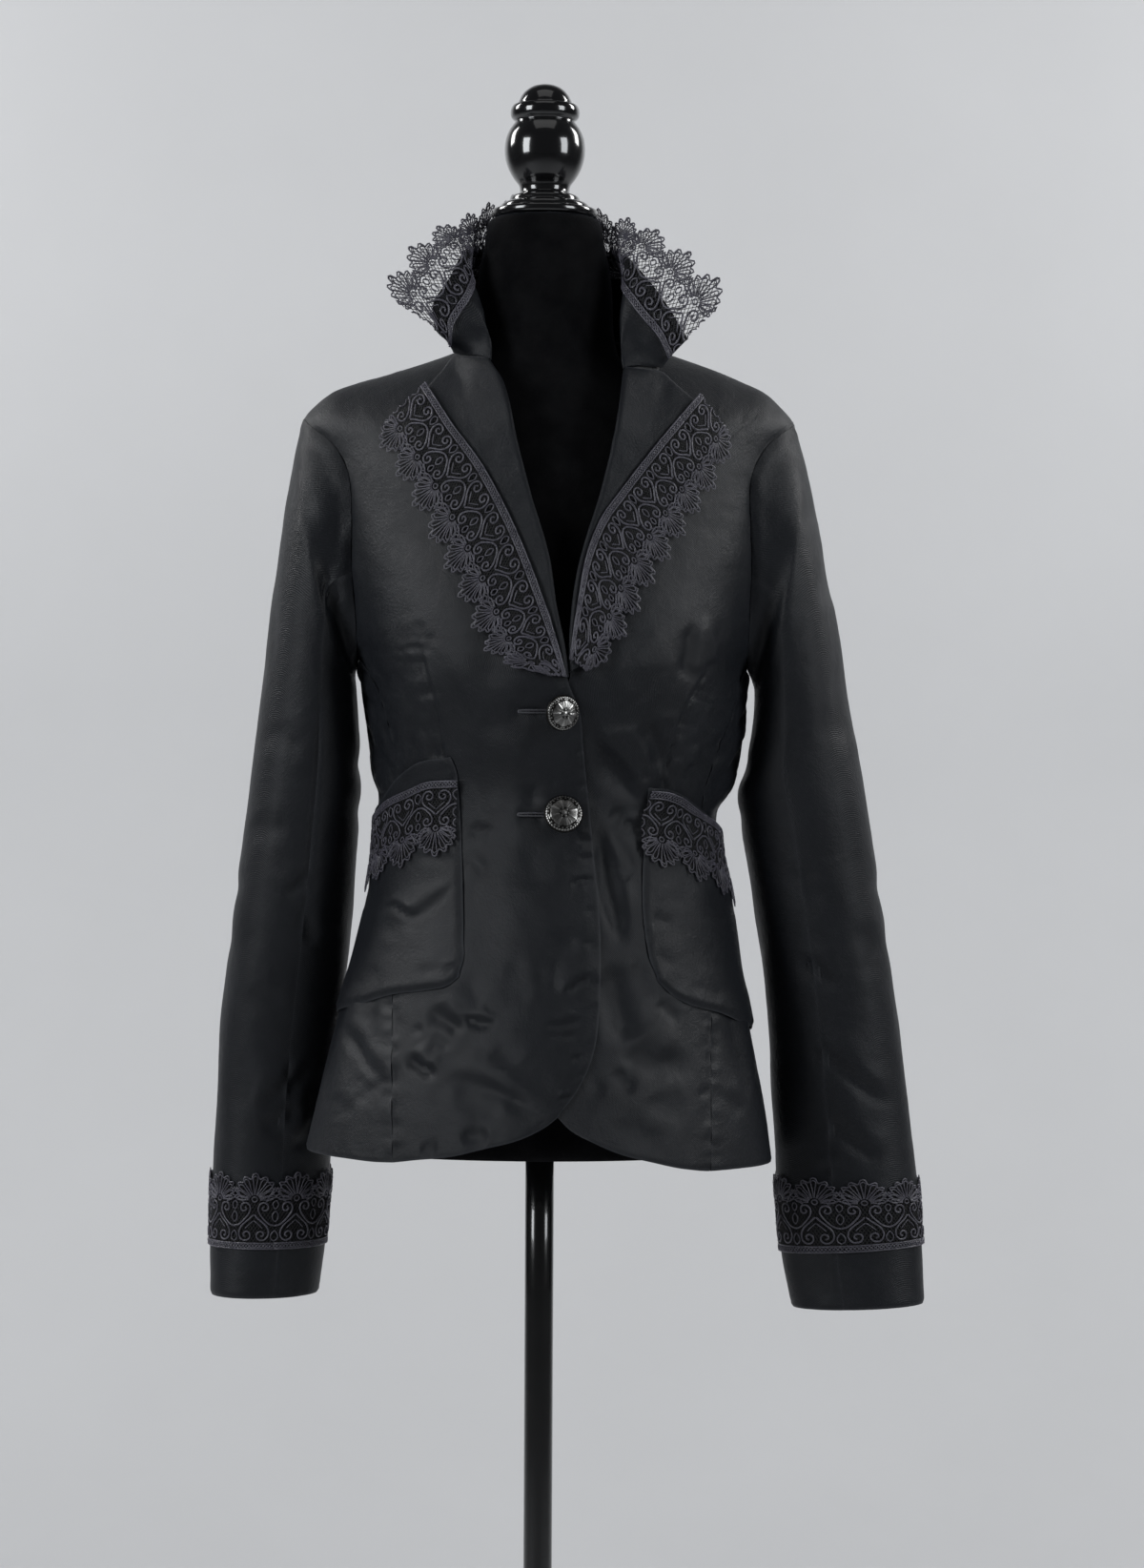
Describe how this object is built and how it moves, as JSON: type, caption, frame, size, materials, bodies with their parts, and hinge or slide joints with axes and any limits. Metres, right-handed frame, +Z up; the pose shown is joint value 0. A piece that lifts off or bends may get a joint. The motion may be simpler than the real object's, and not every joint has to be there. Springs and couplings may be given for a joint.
{
  "type": "lace-trimmed blazer on a dress form",
  "caption": "Fitted black blazer with wide black lace on its stand-up collar, lapels, patch pockets and cuffs, worn by a limbless velvet dress form on a pole and round foot.",
  "frame": {"origin": "on the floor, on the pole's axis, at the centre of the foot's flat underside", "axes": "+Z up along the pole; -Y is the garment's front; +X is the wearer's left"},
  "size_m": [0.5377, 0.32, 1.5917],
  "materials": {
    "cloth": "black cotton sateen with a soft sheen",
    "lace": "black corded guipure lace with a faint violet lustre",
    "velvet": "matt black stretch velvet",
    "lacquer": "gloss black lacquer on turned wood",
    "pole": "gloss black",
    "base": "satin black",
    "button": "antique silver, darkened in the hollows"
  },
  "bodies": {
    "root": {"back_left": "cloth", "back_right": "cloth", "button_lower": "button", "button_upper": "button", "collar": "cloth", "form_base": "base", "form_cap": "lacquer", "form_pole": "pole", "form_torso": "velvet", "front_left": "cloth", "front_right": "cloth", "lace_collar": "lace", "lace_cuff_left": "lace", "lace_cuff_right": "lace", "lace_lapel_left": "lace", "lace_lapel_right": "lace", "lace_pocket_left": "lace", "lace_pocket_right": "lace", "lapel_left": "cloth", "lapel_right": "cloth", "pocket_left": "cloth", "pocket_right": "cloth", "side_left": "cloth", "side_right": "cloth", "sleeve_left_top": "cloth", "sleeve_left_under": "cloth", "sleeve_right_top": "cloth", "sleeve_right_under": "cloth"}
  },
  "joints": []
}
